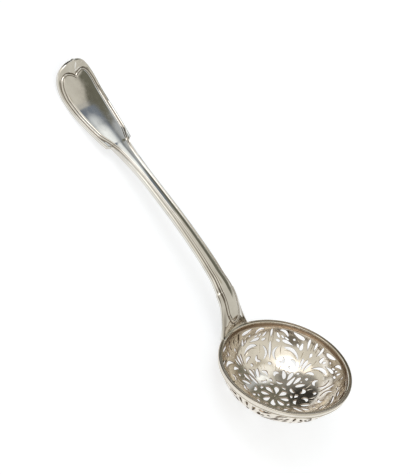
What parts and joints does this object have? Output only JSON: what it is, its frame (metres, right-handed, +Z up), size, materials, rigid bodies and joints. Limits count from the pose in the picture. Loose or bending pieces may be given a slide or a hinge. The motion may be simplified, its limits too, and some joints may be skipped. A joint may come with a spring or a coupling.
{
  "type": "sifter spoon",
  "caption": "Round pierced silver bowl with a thread moulding and a long fiddle-thread handle, for sifting sugar.",
  "frame": {"origin": "on the table plane, under the middle of the bounding box of the spoon as it lies at rest", "axes": "+X along the spoon from the handle's tip towards the bowl, +Y to the left across it, +Z up from the table"},
  "size_m": [0.1998, 0.063, 0.0412],
  "materials": {
    "bowl_silver": "raised and pierced silver, burnished, with fine wear",
    "moulding_silver": "drawn silver moulding, polished",
    "handle_silver": "forged and struck silver, polished, with fine wear"
  },
  "bodies": {
    "root": {"pierced_bowl": "bowl_silver", "rim_moulding": "moulding_silver", "handle": "handle_silver"}
  },
  "joints": []
}
